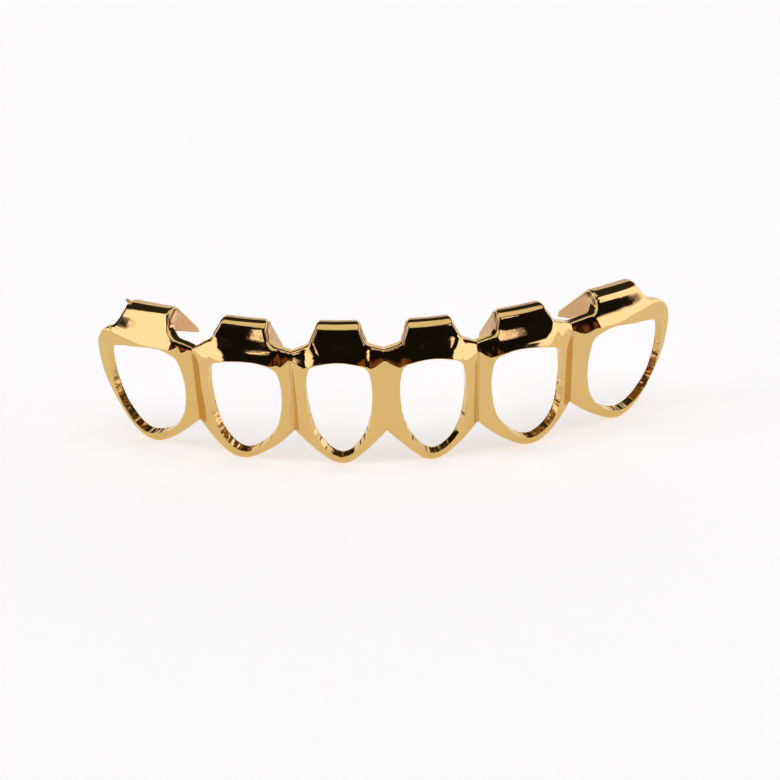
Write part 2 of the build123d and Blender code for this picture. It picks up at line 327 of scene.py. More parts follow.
@dataclass(frozen=True)
class SideView:
    """The bends of the sheet, seen from the side of a cap."""

    wall: float = 0.6
    face_lean: float = 6.0
    band_foot_height: float = 6.5
    band_bend_height: float = 7.2
    crease_height: float = 8.0
    band_foot_tilt: float = 20.0
    band_top_tilt: float = 36.0
    tab_tilt: float = 31.0
    foot_rounding: float = 0.28
    bend_rounding: float = 0.30
    crease_rounding: float = 0.05
    crest_radius: float = 0.88
    fold_rounding: float = 0.12

    def lean_at(self, height: Points) -> Points:
        """How far forwards the faces have leant at a height."""
        return height * math.tan(math.radians(self.face_lean))

    def back_at(self, height: Points, skin: Skin) -> Points:
        """How far back the face, band and tab lie at a height.

        Args:
            height: heights up to the crest.
            skin: which surface of the sheet.

        Returns:
            Distance behind the foot of the face, for each height.
        """
        depth = self.wall if skin is Skin.INNER else 0.0
        slopes = (-self.face_lean, self.band_foot_tilt, self.band_top_tilt, self.tab_tilt)
        tilts = [math.radians(slope) for slope in slopes]
        bends = (self.band_foot_height, self.band_bend_height, self.crease_height)
        roundings = (self.foot_rounding, self.bend_rounding, self.crease_rounding)
        back = height * math.tan(tilts[0]) + depth / math.cos(tilts[0])
        for below, above, bend, rounding in zip(tilts, tilts[1:], bends, roundings):
            moved = bend - depth * math.tan((below + above) / 2)
            back = back + (math.tan(above) - math.tan(below)) * ramp(height - moved, rounding)
        return back

    def fold(self, cap: "Cap") -> "Fold":
        """Works out where the tab of a cap turns over into its hook.

        Args:
            cap: the cap.

        Returns:
            The fold of its sheet.
        """
        tab, hook = math.radians(self.tab_tilt), math.radians(cap.hook_tilt)
        level = cap.crest_height - self.crest_radius
        tab_back = float(self.back_at(np.array(level), Skin.OUTER))
        centre = np.array((tab_back + self.crest_radius / math.cos(tab), level))
        crease_back = float(self.back_at(np.array(self.crease_height), Skin.OUTER))
        foot = (crease_back + self.wall / 2, cap.arch.shoulder_height - cap.cheek_drop)
        return Fold(centre, self.crest_radius, tab, hook, centre[0] + cap.hook_reach, foot)

    def rows(self, cap: "Cap", skin: Skin) -> tuple[Points, Points]:
        """Side view of a tab and its hook, from the crease to the tip.

        Args:
            cap: the cap that they belong to.
            skin: which surface of the sheet.

        Returns:
            Rows of (back, height), and for each row the turn of the tip's rounding in radians.
        """
        fold = self.fold(cap)
        hook_start, tab_end = fold.on_arc(fold.hook), fold.on_arc(fold.tab)
        turns = np.concatenate([np.zeros(HOOK_ROWS), np.linspace(0, math.pi / 2, TIP_ROWS + 1)[1:]])
        straight_end = fold.tip_back - cap.hook_tip_radius
        backs = np.concatenate([
            np.linspace(hook_start[0], straight_end, HOOK_ROWS + 1)[1:],
            straight_end + cap.hook_tip_radius * np.sin(turns[HOOK_ROWS:]),
        ])
        if skin is Skin.OUTER:
            heights = np.linspace(self.crease_height, tab_end[1], TAB_ROWS + 1)
            arc_rows = fold.on_arc(np.linspace(fold.tab, fold.hook, CREST_ROWS + 1)[1:])
            hook_rows = np.stack([backs, fold.hook_height(backs)], axis=1)
        else:
            drop = self.wall / math.sin(fold.hook)
            tab_step = np.array((math.sin(fold.tab), math.cos(fold.tab)))
            hook_step = np.array((math.sin(fold.hook), math.cos(fold.hook)))
            low = (float(self.back_at(np.array(fold.centre[1]), skin)), fold.centre[1])
            corner = np.array(crossing(low, tab_step, (hook_start[0], hook_start[1] - drop), hook_step))
            tab_end = corner - self.fold_rounding * tab_step
            fold_end = corner + self.fold_rounding * hook_step
            heights = np.linspace(self.crease_height, tab_end[1], TAB_ROWS + 1)
            shares = np.linspace(0, 1, CREST_ROWS + 1)[1:, None]
            arc_rows = mix(mix(tab_end, corner, shares), mix(corner, fold_end, shares), shares)
            share = (backs - hook_start[0]) / (fold.tip_back - hook_start[0])
            backs = fold_end[0] + (fold.tip_back - fold_end[0]) * share
            hook_heights = np.maximum(fold.hook_height(backs) - drop, fold.underside(backs))
            hook_rows = np.stack([backs, hook_heights], axis=1)
        tab_rows = np.stack([self.back_at(heights, skin), heights], axis=1)
        before = np.zeros(TAB_ROWS + 1 + CREST_ROWS)
        return np.concatenate([tab_rows, arc_rows, hook_rows]), np.concatenate([before, turns])


@dataclass(frozen=True)
class Fold:
    """A tab turned over into its hook, seen from the side."""

    centre: Points
    radius: float
    tab: float
    hook: float
    tip_back: float
    foot: tuple
    tip_edge: float = 0.25

    def on_arc(self, angle: Points, inset: float = 0.0) -> Points:
        """Points round the crest at angles of its slope, moved in by an inset."""
        return self.centre + (self.radius - inset) * np.stack([-np.cos(angle), np.sin(angle)], axis=-1)

    def hook_height(self, back: Points) -> Points:
        """Height of the top of the hook at a distance back."""
        start = self.on_arc(self.hook)
        return start[1] + (back - start[0]) * math.cos(self.hook) / math.sin(self.hook)

    def underside(self, back: Points) -> Points:
        """Height of the slope from cheek foot to tip, which trims the cheeks and the hook from below."""
        drop = self.hook_height(self.tip_back) - self.tip_edge - self.foot[1]
        return self.foot[1] + (back - self.foot[0]) * drop / (self.tip_back - self.foot[0])

    def cheek(self, border: float, tip_gap: float) -> tuple[Points, Points]:
        """Side view of a cheek, inside a border along the tab, the crest and the hook.

        Args:
            border: width of the border.
            tip_gap: how far before the tip the cheek ends.

        Returns:
            Points along its upper edge, from the foot to the tip, and as many along its lower edge.
        """
        arc = self.on_arc(np.linspace(self.tab, self.hook, CHEEK_COUNT), border)
        floor = float(self.underside(0.0))
        slope = (1.0, float(self.underside(1.0) - self.underside(0.0)))
        start = crossing(tuple(arc[0]), (math.sin(self.tab), math.cos(self.tab)), (0.0, floor), slope)
        back = self.tip_back - tip_gap
        fall = math.cos(self.hook) / math.sin(self.hook)
        tip = (back, arc[-1][1] + (back - arc[-1][0]) * fall)
        upper = respaced(np.vstack([start, arc, tip]), 2 * CHEEK_COUNT)
        backs = np.linspace(start[0], back, len(upper))
        return upper, np.stack([backs, np.minimum(self.underside(backs), upper[:, 1])], axis=1)


@dataclass(frozen=True)
class Arch:
    """The plan of the row, seen from above, and the heights that all caps share."""

    radius: float = 23.0
    groove_depth: float = 0.8
    groove_fillet: float = 0.05
    groove_lean: float = 0.42
    groove_bend_height: float = 6.75
    corner_bend_height: float = 6.0
    bend_rounding: float = 0.3
    groove_wall: float = 0.62
    end_wall: float = 0.43
    left_end: float = 50.9
    right_end: float = 52.7
    notch_height: float = 1.9
    shoulder_height: float = 7.8
    end_setback: float = 0.4
    end_slope: float = 4.0
    end_shoulder_drop: float = 0.5
    end_corner_drop: float = 0.95
    end_hip_height: float = 3.9
    end_side_height: float = 5.07
    end_corner_radius: float = 1.78
    centre_x: float = -0.2569
    centre_y: float = 18.4119

    def is_free(self, angle: float) -> bool:
        """Whether an edge at this angle is a free end of the row."""
        return angle in (-self.left_end, self.right_end)

    def groove_radius(self, height: Points, view: SideView) -> Points:
        """Distance of the groove lines from the centre of the arch, at a height."""
        back = self.groove_lean * ramp(height - self.groove_bend_height, self.bend_rounding)
        return self.radius - self.groove_depth + self.groove_fillet + view.lean_at(height) - back

    def placed(self, points: Points, facing: float) -> Points:
        """Moves points from a cap's own frame to the row's.

        Args:
            points: points of the cap's frame.
            facing: angle on the arch that the cap faces.

        Returns:
            The same points in the row's frame.
        """
        c, s = math.cos(math.radians(facing)), math.sin(math.radians(facing))
        x, y, z = points[..., 0], points[..., 1] - self.radius, points[..., 2]
        return np.stack([x * c - y * s + self.centre_x, x * s + y * c + self.centre_y, z], axis=-1)


class Mark(NamedTuple):
    """A point of a curve, as shares of how far the whole curve goes across and up."""

    across: float
    up: float


RIM_CURVE = [Mark(0.16, 0.04), Mark(0.31, 0.17), Mark(0.54, 0.44), Mark(0.77, 0.72)]
END_CURVE = [
    Mark(0.12, 0.02), Mark(0.25, 0.08), Mark(0.42, 0.20),
    Mark(0.62, 0.42), Mark(0.80, 0.68), Mark(0.93, 0.94),
]
WINDOW_CURVE = [Mark(0.27, 0.055), Mark(0.52, 0.19), Mark(0.725, 0.35), Mark(0.87, 0.55), Mark(0.96, 0.78)]
CORNER_CURVE = [Mark(0.0, 0.0), Mark(0.24, 0.67), Mark(0.85, 0.98)]


@dataclass
class Cap:
    """One cap. Places run along its face from the middle of the cap, positive to the right.

    Drops and rises are measured from the height of the shoulders, and angles lie on the arch, positive to
    the right. A sag is how far the rim hangs below its plain curve on that side.
    """

    left_angle: float
    right_angle: float
    facing: float
    window_left: float
    window_right: float
    window_low: float
    left_waist_height: float
    right_waist_height: float
    top_left_drop: float
    top_right_drop: float
    crest_left: float
    crest_right: float
    crest_rise: float
    hook_reach: float
    hook_tilt: float
    cheek_drop: float
    rim_low: float
    left_sag: float
    right_sag: float
    left_groove_drop: float
    right_groove_drop: float
    seed: int
    arch: Arch = field(default_factory=Arch)
    view: SideView = field(default_factory=SideView)
    tab_flare: float = 0.6
    shoulder_radius: float = 0.9
    hook_taper: float = 0.15
    hook_tip_radius: float = 0.35
    cheek_wall: float = 0.35
    cheek_border: float = 0.14
    cheek_proud: float = 0.05
    cheek_ease: float = 0.9
    window_floor: float = 0.5
    window_crown: float = 0.14
    window_corner: float = 1.0
    window_bevel: float = 0.17
    window_middle: float = 3.5
    bevel_top: float = 5.6
    bevel_fade: float = 4.0
    spine_foot: float = 0.1
    spine_top: float = 1.3
    bulge: float = 0.20
    ridge_rounding: float = 0.80
    edge_radius: float = 0.16
    window_edge: float = 0.05
    chip_depth: float = 0.13
    chip_length: float = 0.15
    chip_top: float = 5.4
    chip_fade: float = 2.4

    def __post_init__(self) -> None:
        """Works out the height of the crest, and its slope, positive where it falls to the right."""
        arch = self.arch
        self.crest_height = arch.shoulder_height + self.crest_rise
        self.fall = math.radians(
            arch.end_slope * (arch.is_free(self.right_angle) - arch.is_free(self.left_angle))
        )

    def angle(self, side: Side) -> float:
        """Angle on the arch of one side's groove or free edge."""
        return side.pick(self.left_angle, self.right_angle)

    def is_free(self, side: Side) -> bool:
        """Whether a side of the cap is a free end of the row."""
        return self.arch.is_free(self.angle(side))

    def edge_place(self, side: Side, height: Points, skin: Skin) -> tuple[Points, Points]:
        """Place and depth of a groove or free edge, in the cap's frame.

        Args:
            side: which side of the cap.
            height: heights to give it at.
            skin: which surface of the sheet.

        Returns:
            Place along the face, and distance back, for each height.
        """
        arch = self.arch
        turn = math.radians(self.angle(side) - self.facing)
        lean = self.view.lean_at(height)
        if self.is_free(side):
            radius = arch.radius - arch.groove_depth + lean
            depth = arch.end_wall if skin is Skin.INNER else 0.0
            return radius * math.sin(turn), arch.end_setback - lean + depth
        radius = arch.groove_radius(height, self.view)
        if skin is Skin.INNER:
            radius = radius - arch.groove_wall
        return radius * math.sin(turn), arch.radius - radius * math.cos(turn)

    def flank(self, side: Side, x: Points, z: Points, skin: Skin) -> Points:
        """Distance back of the flank between the window's side and the groove, with the groove filleted.

        Args:
            side: which side of the cap.
            x: places along the face.
            z: heights.
            skin: which surface of the sheet.

        Returns:
            Distance back, for each place.
        """
        edge_x, edge_y = self.edge_place(side, z, skin)
        outer_x, outer_y = self.edge_place(side, z, Skin.OUTER)
        corner = side.pick(self.window_left, self.window_right)
        ahead = self.view.lean_at(z) - self.bulged(corner)
        if self.is_free(side):
            slope = (outer_y + ahead) / (outer_x - corner)
            return edge_y + slope * (x - edge_x)
        arch = self.arch
        slope = (outer_y + arch.groove_fillet + ahead) / (outer_x - corner)
        turn = math.tan(math.radians(self.angle(side) - self.facing))
        rise = (slope - turn) * side.value
        rounding = arch.groove_fillet / rise
        inside = (edge_x - x) * side.value
        share = np.clip((x - corner) / (outer_x - corner), 0, 1)
        bend = mix(arch.corner_bend_height, arch.groove_bend_height, share)
        fallen = ramp(z - bend, arch.bend_rounding)
        fallen = fallen - share * ramp(z - arch.groove_bend_height, arch.bend_rounding)
        flat = edge_y + turn * (x - edge_x) - rise * (np.sqrt(inside ** 2 + rounding ** 2) - rounding)
        return flat + arch.groove_lean * fallen

    def bulged(self, x: Points) -> Points:
        """How far the rounded face falls back at places along it."""
        return self.bulge * (x / max(self.window_right, -self.window_left)) ** 2

    def surface(self, x: Points, z: Points, skin: Skin) -> Points:
        """Distance back of the face, flanks and band, for places seen from the front.

        Args:
            x: places along the face.
            z: heights.
            skin: which surface of the sheet.

        Returns:
            Distance back, for each place.
        """
        level = z * math.cos(self.fall) + x * math.sin(self.fall)
        back = self.view.back_at(level, skin) + self.bulged(x)
        for side in Side:
            back = soft_max(back, self.flank(side, x, z, skin), self.ridge_rounding)
        return back

    def groove_top(self, side: Side) -> float:
        """Height of the top of a groove."""
        return self.arch.shoulder_height - side.pick(self.left_groove_drop, self.right_groove_drop)

    def rim_side(self, side: Side) -> list:
        """Points of the rim on one side.

        Args:
            side: which side of the cap.

        Returns:
            Points from the rim's low point out to the edge of the cap, without the low point.
        """
        arch = self.arch
        foot = float(self.edge_place(side, np.array(arch.notch_height), Skin.OUTER)[0])
        free = self.is_free(side)
        curve, height = (END_CURVE, arch.end_hip_height) if free else (RIM_CURVE, arch.notch_height)
        sag = side.pick(self.left_sag, self.right_sag)
        points = []
        for mark in [*curve, Mark(1.0, 1.0)]:
            sunk = SAG_SCALE * sag * mark.across ** 2 * (1 - mark.across)
            points.append((self.rim_low + (foot - self.rim_low) * mark.across, height * mark.up - sunk))
        if free:
            points[-1] = (foot, arch.end_side_height)
        return points

    def shoulder(self, side: Side, start: tuple) -> Points:
        """Front view of one shoulder.

        Args:
            side: which side of the cap.
            start: top of the groove there, or the end of the rim at a free end.

        Returns:
            Points from the start to the top of the tab.
        """
        arch = self.arch
        crest = side.pick(self.crest_left, self.crest_right)
        foot_x = crest + side.value * self.tab_flare
        top = (crest, self.crest_height - crest * math.tan(self.fall))
        if not self.is_free(side):
            return rounded([start, (foot_x, arch.shoulder_height), top], [0, self.shoulder_radius, 0])
        corner = (start[0], arch.shoulder_height - arch.end_corner_drop)
        foot = (foot_x, arch.shoulder_height - arch.end_shoulder_drop)
        return rounded([start, corner, foot, top], [0, arch.end_corner_radius, self.shoulder_radius, 0])

    def outline(self) -> tuple[Points, Points, Points]:
        """Front view of the cap's free edges.

        Returns:
            The rim from groove to groove, the right shoulder from groove to tab, and the left shoulder from
            tab to groove. At a free end the rim runs on into the shoulder, and that shoulder is empty.
        """
        rim = smooth_line([*self.rim_side(Side.LEFT)[::-1], (self.rim_low, 0), *self.rim_side(Side.RIGHT)])
        lines = {}
        for side in Side:
            height = self.groove_top(side)
            start = (float(self.edge_place(side, np.array(height), Skin.OUTER)[0]), height)
            if self.is_free(side):
                start = tuple(side.pick(rim[0], rim[-1]))
            lines[side] = self.shoulder(side, start)
        right, left = lines[Side.RIGHT], lines[Side.LEFT][::-1]
        if self.is_free(Side.RIGHT):
            return np.vstack([rim, right[1:]]), np.empty((0, 2)), left
        if self.is_free(Side.LEFT):
            return np.vstack([left[:-1], rim]), right, np.empty((0, 2))
        return rim, right, left

    def window(self) -> Points:
        """Closed front view of the window.

        Returns:
            Points round it, anticlockwise from its low point.
        """
        shoulder, low, floor = self.arch.shoulder_height, self.window_low, self.window_floor
        corner = self.window_corner
        halves = []
        tops = []
        for side in Side:
            place = side.pick(self.window_left, self.window_right)
            waist = side.pick(self.left_waist_height, self.right_waist_height)
            top = shoulder - side.pick(self.top_left_drop, self.top_right_drop)
            half = []
            for mark in WINDOW_CURVE:
                half.append((low + (place - low) * mark.across, floor + (waist - floor) * mark.up))
            half.append((place, waist))
            for mark in CORNER_CURVE:
                half.append((place - side.value * corner * mark.across, top - corner * (1 - mark.up)))
            halves.append(half)
            tops.append(top)
        left, right = halves
        crown = ((self.window_left + self.window_right) / 2, sum(tops) / 2 + self.window_crown)
        return smooth_line([(low, floor), *right, crown, *left[::-1]], closed=True)

    def level_of(self, points: Points) -> Points:
        """Height of front-view points on the unfallen side view."""
        return points[:, 1] * math.cos(self.fall) + points[:, 0] * math.sin(self.fall)

    def cut_at_crease(self, line: Points, keep_start: bool) -> tuple[Points, Points]:
        """Splits a shoulder line where it crosses the crease.

        Args:
            line: front-view line that crosses the crease once.
            keep_start: whether its first part is the shoulder, and the rest the tab's side.

        Returns:
            The shoulder part and the tab's side, both in the line's own order.
        """
        level = self.level_of(line) - self.view.crease_height
        signs = level > 0
        at = int(np.nonzero(signs[1:] != signs[:-1])[0][0 if keep_start else -1])
        share = level[at] / (level[at] - level[at + 1])
        cross = mix(line[at], line[at + 1], share)
        first = np.vstack([line[:at + 1], cross])
        second = np.vstack([cross, line[at + 1:]])
        return (first, second) if keep_start else (second, first)


class Part(Enum):
    """The parts of the boundary between a cap's face and its edges."""

    EDGE = 0
    GROOVE = 1
    CREASE = 2


@dataclass
class Stretch:
    """One stretch of the face's boundary from the front: its true edge, and the line just inside it."""

    part: Part
    edge: Points
    near: Points


@dataclass
class MeshPile:
    """Vertices and faces gathered for one piece."""

    points: list = field(default_factory=list)
    faces: list = field(default_factory=list)
    finishes: list = field(default_factory=list)
    count: int = 0

    def add(self, points: Points) -> Points:
        """Adds points.

        Args:
            points: points of the row's frame, in any layout.

        Returns:
            Their numbers, in the same layout.
        """
        flat = points.reshape(-1, 3)
        self.points.append(flat)
        numbers = np.arange(self.count, self.count + len(flat)).reshape(points.shape[:-1])
        self.count += len(flat)
        return numbers

    def quads(self, numbers: Points, finish: Finish = Finish.PLATE) -> None:
        """Joins a grid of points with quads.

        Args:
            numbers: grid of the points' numbers.
            finish: finish of the quads.
        """
        a, b = numbers[:-1, :-1], numbers[:-1, 1:]
        c, d = numbers[1:, 1:], numbers[1:, :-1]
        found = np.stack([a, b, c, d], axis=-1).reshape(-1, 4)
        self.faces.append(found)
        self.finishes.append(np.full(len(found), finish.value))


@dataclass(frozen=True)
class Nub:
    """A casting nub, as rings along its own axis, each with its reach and its share of the radius."""

    radius: float = 0.13
    lean: float = 60.0
    root: tuple = (0.25, -0.3, -0.3)
    rings: tuple = ((0.0, 1.0), (0.35, 1.0), (0.55, 0.85), (0.47, 0.95), (0.54, 0.7), (0.56, 0.05))
    sides: int = 12


@dataclass
class CapShell:
    """The mesh of one cap: its two skins, its tab and hook, and the walls round its edges."""

    cap: Cap
    pile: MeshPile
    tab_edges: dict = field(default_factory=dict)

    def lifted(self, places: Points, skin: Skin) -> Points:
        """Lifts front-view places onto the sheet. The inner skin narrows towards the grooves.

        Args:
            places: places along the face, and heights.
            skin: which surface of the sheet.

        Returns:
            Points of the cap's frame.
        """
        cap, arch = self.cap, self.cap.arch
        x, z = places[..., 0], places[..., 1]
        if skin is Skin.INNER:
            radius = arch.groove_radius(z, cap.view)
            for side in Side:
                if cap.is_free(side):
                    continue
                edge_x, _ = cap.edge_place(side, z, Skin.OUTER)
                share = np.where(x * side.value > 0, np.abs(x / edge_x) ** SQUEEZE_POWER, 0.0)
                x = x * (1 - arch.groove_wall / radius * share)
        return np.stack([x, cap.surface(x, z, skin), z], axis=-1)

    def groove_point(self, side: Side, height: float) -> Points:
        """Front-view place of a groove at a height."""
        return np.array((float(self.cap.edge_place(side, np.array(height), Skin.OUTER)[0]), height))

    def inset(self, line: Points, count: int, first: Points, last: Points) -> Stretch:
        """Makes a stretch of free edge.

        Args:
            line: front view of the edge.
            count: how many points to space along it.
            first: first point of the line inside it.
            last: last point of the line inside it.

        Returns:
            The stretch.
        """
        edge = respaced(line, count)
        near = edge + left_normals(edge) * self.cap.edge_radius
        near[0], near[-1] = first, last
        return Stretch(Part.EDGE, edge, near)

    def groove(self, side: Side) -> Stretch:
        """Makes the stretch along one groove.

        Args:
            side: which side of the cap.

        Returns:
            The stretch, upwards on the right and downwards on the left.
        """
        cap = self.cap
        reach = GROOVE_REACH * cap.edge_radius
        heights = np.linspace(cap.arch.notch_height + reach, cap.groove_top(side) - reach, GROOVE_COUNT)
        if side is Side.LEFT:
            heights = heights[::-1]
        x, _ = cap.edge_place(side, heights, Skin.OUTER)
        line = np.stack([x, heights], axis=1)
        return Stretch(Part.GROOVE, line, line)

    def crease_end(self, side: Side) -> Points:
        """Finds where the crease ends, just inside the tab's edge.

        Args:
            side: which side of the cap.

        Returns:
            The front-view place.
        """
        cap = self.cap
        x = self.tab_edges[side][0, 0] - side.value * cap.edge_radius
        return np.array((x, (cap.view.crease_height - x * math.sin(cap.fall)) / math.cos(cap.fall)))

    def boundary(self) -> list[Stretch]:
        """Splits the outline of the face, and keeps the tab's edges aside, each from the crease up.

        Returns:
            The stretches round the face, anticlockwise, starting after a groove.
        """
        cap = self.cap
        rim, right, left = cap.outline()
        right_free, left_free = cap.is_free(Side.RIGHT), cap.is_free(Side.LEFT)
        if right_free:
            rim, right_edge = cap.cut_at_crease(rim, True)
        else:
            right, right_edge = cap.cut_at_crease(right, True)
        if left_free:
            rim, left_edge = cap.cut_at_crease(rim, False)
        else:
            left, left_edge = cap.cut_at_crease(left, False)
        self.tab_edges = {Side.RIGHT: right_edge, Side.LEFT: left_edge[::-1]}
        reach = GROOVE_REACH * cap.edge_radius
        notch = cap.arch.notch_height + reach
        lows = {side: self.groove_point(side, notch) for side in Side}
        tops = {side: self.groove_point(side, cap.groove_top(side) - reach) for side in Side}
        ends = {side: self.crease_end(side) for side in Side}
        line = respaced(np.array([ends[Side.RIGHT], ends[Side.LEFT]]), CREASE_COUNT)
        crease = Stretch(Part.CREASE, line, line)
        long_count = RIM_COUNT + GROOVE_COUNT + SHOULDER_COUNT
        if left_free:
            return [
                self.inset(right, SHOULDER_COUNT, tops[Side.RIGHT], ends[Side.RIGHT]),
                crease,
                self.inset(rim, long_count, ends[Side.LEFT], lows[Side.RIGHT]),
                self.groove(Side.RIGHT),
            ]
        left_shoulder = self.inset(left, SHOULDER_COUNT, ends[Side.LEFT], tops[Side.LEFT])
        if right_free:
            return [
                self.inset(rim, long_count, lows[Side.LEFT], ends[Side.RIGHT]),
                crease,
                left_shoulder,
                self.groove(Side.LEFT),
            ]
        return [
            self.inset(rim, RIM_COUNT, lows[Side.LEFT], lows[Side.RIGHT]),
            self.groove(Side.RIGHT),
            self.inset(right, SHOULDER_COUNT, tops[Side.RIGHT], ends[Side.RIGHT]),
            crease,
            left_shoulder,
            self.groove(Side.LEFT),
        ]

    def window_edge_for(self, near: Points) -> Points:
        """Finds window edge points that face the boundary, seen from a spine up the window's middle.

        Args:
            near: front-view points of the boundary.

        Returns:
            A point of the window's edge for each of them.
        """
        cap = self.cap
        line = cap.window()
        start, step = line, np.roll(line, -1, axis=0) - line
        spine_low = max(cap.left_waist_height, cap.right_waist_height) - cap.spine_foot
        top = cap.arch.shoulder_height - max(cap.top_left_drop, cap.top_right_drop)
        spine_high = top - cap.spine_top
        middle = (cap.window_left + cap.window_right) / 2
        found = []
        for point in near:
            seat = np.array((middle, min(max(point[1], spine_low), spine_high)))
            ray = point - seat
            across = ray[0] * step[:, 1] - ray[1] * step[:, 0]
            across = np.where(np.abs(across) < PARALLEL, PARALLEL, across)
            offset = start - seat
            along_ray = (offset[:, 0] * step[:, 1] - offset[:, 1] * step[:, 0]) / across
            along_step = (offset[:, 0] * ray[1] - offset[:, 1] * ray[0]) / across
            hits = (along_step >= -TINY) & (along_step <= 1 + TINY) & (along_ray > 0)
            found.append(seat + ray * float(np.min(along_ray[hits])))
        return np.array(found)

    def wall_rows(self, near: tuple, corner: tuple, radius: float) -> list[Points]:
        """Rows of points from the outer skin round a wall to the inner skin.

        Args:
            near: last points of the outer and inner skins.
            corner: sharp corners of the outer and inner edges.
            radius: how far the rounding of each edge runs down the wall.

        Returns:
            The rows between the skins' own rows.
        """
        across = corner[1] - corner[0]
        depth = np.linalg.norm(across, axis=-1)[..., None]
        step = across / depth * np.minimum(radius, EDGE_SHARE * depth)
        top, bottom = corner[0] + step, corner[1] - step
        rows = turned_edge(near[0], corner[0], top, EDGE_STEPS)
        rows += [mix(top, bottom, share) for share in np.linspace(0, 1, WALL_STEPS + 1)[1:]]
        rows += turned_edge(near[1], corner[1], bottom, EDGE_STEPS)[-2::-1]
        return rows

    def edge_at(self, side: Side, levels: Points) -> Points:
        """Place of the tab's edge at levels of the side view.

        Args:
            side: which side of the cap.
            levels: heights on the unfallen side view.

        Returns:
            Place along the face, for each level.
        """
        line = self.tab_edges[side]
        heights = self.cap.level_of(line)
        order = np.argsort(heights)
        return np.interp(levels, heights[order], line[order, 0])

    def tab_side(self, side: Side, rows: Points, turns: Points) -> Points:
        """Place of one edge of the tab and hook.

        Args:
            side: which side of the cap.
            rows: rows of the side view, from the crease to the tip.
            turns: for each row, the turn of the tip's rounding in radians.

        Returns:
            Place along the face, for each row.
        """
        cap = self.cap
        corner = side.pick(cap.crest_left, cap.crest_right)
        hook_share = np.clip((rows[:, 0] - cap.view.fold(cap).centre[0]) / cap.hook_reach, 0, 1)
        crest_share = np.clip((np.arange(len(rows)) - TAB_ROWS) / CREST_ROWS, 0, 1)
        x = self.edge_at(side, rows[:, 1])
        folded = mix(x[TAB_ROWS], corner, eased(crest_share)) - side.value * cap.hook_taper * hook_share
        x = np.where(np.arange(len(rows)) <= TAB_ROWS, x, folded)
        return x - side.value * cap.hook_tip_radius * (1 - np.cos(turns))

    def fallen(self, x: Points, row: Points) -> Points:
        """Moves points of the side view to where they lie on the cap, with the face's bulge and its slope.

        Args:
            x: places along the face.
            row: distances back and levels of the side view.

        Returns:
            Points of the cap's frame.
        """
        cap = self.cap
        back = row[..., 0] + cap.bulged(x)
        height = (row[..., 1] - x * math.sin(cap.fall)) / math.cos(cap.fall)
        return np.stack([x, back, height], axis=-1)

    def add_tab(self, crease_numbers: dict) -> dict:
        """Adds the tab and hook above the crease.

        Args:
            crease_numbers: numbers of the crease's points on each skin, from right to left.

        Returns:
            For each skin, the numbers, points and edge corners along the right side, the tip and the left
            side.
        """
        cap = self.cap
        runs = {}
        for skin in Skin:
            rows, turns = cap.view.rows(cap, skin)
            outer_rows, _ = cap.view.rows(cap, Skin.OUTER)
            right, left = (self.tab_side(side, outer_rows, turns) for side in (Side.RIGHT, Side.LEFT))
            reach = cap.edge_radius
            fall = 1 / math.tan(math.radians(cap.hook_tilt))
            near_rows = rows - np.stack([reach * np.sin(turns), reach * np.sin(turns) * fall], axis=1)
            near_right = right - reach * np.cos(turns)
            near_left = left + reach * np.cos(turns)
            shares = np.linspace(0, 1, CREASE_COUNT)
            x = near_right[:, None] + (near_left - near_right)[:, None] * shares
            points = self.fallen(x, near_rows[:, None, :])
            numbers = np.vstack([crease_numbers[skin][None, :], self.add(points[1:])])
            self.pile.quads(numbers[:SATIN_ROW + 1], Finish.PLATE if skin is Skin.OUTER else Finish.CAST)
            self.pile.quads(numbers[SATIN_ROW:], Finish.SATIN if skin is Skin.OUTER else Finish.CAST)
            tip_x = right[-1] + (left[-1] - right[-1]) * shares[1:-1]
            corner = np.vstack([
                self.fallen(right, rows),
                self.fallen(tip_x, np.broadcast_to(rows[-1], (len(tip_x), 2))),
                self.fallen(left, rows)[::-1],
            ])
            near = np.vstack([points[:, 0], points[-1, 1:-1], points[::-1, -1]])
            around = np.concatenate([numbers[:, 0], numbers[-1, 1:-1], numbers[::-1, -1]])
            runs[skin] = (around, near, corner)
        return runs

    def add(self, points: Points) -> Points:
        """Adds points of the cap's frame to the pile, in the row's frame."""
        return self.pile.add(self.cap.arch.placed(points, self.cap.facing))

    def add_wall(self, numbers: tuple, near: tuple, corner: tuple, radius: float) -> None:
        """Adds the wall between the two skins along a run of edge.

        Args:
            numbers: numbers of the last points of the outer and inner skins.
            near: those points.
            corner: sharp corners of the outer and inner edges.
            radius: how far the rounding of each edge runs down the wall.
        """
        rows = self.wall_rows(near, corner, radius)
        grid = [numbers[0]] + [self.add(row) for row in rows] + [numbers[1]]
        self.pile.quads(np.array(grid))

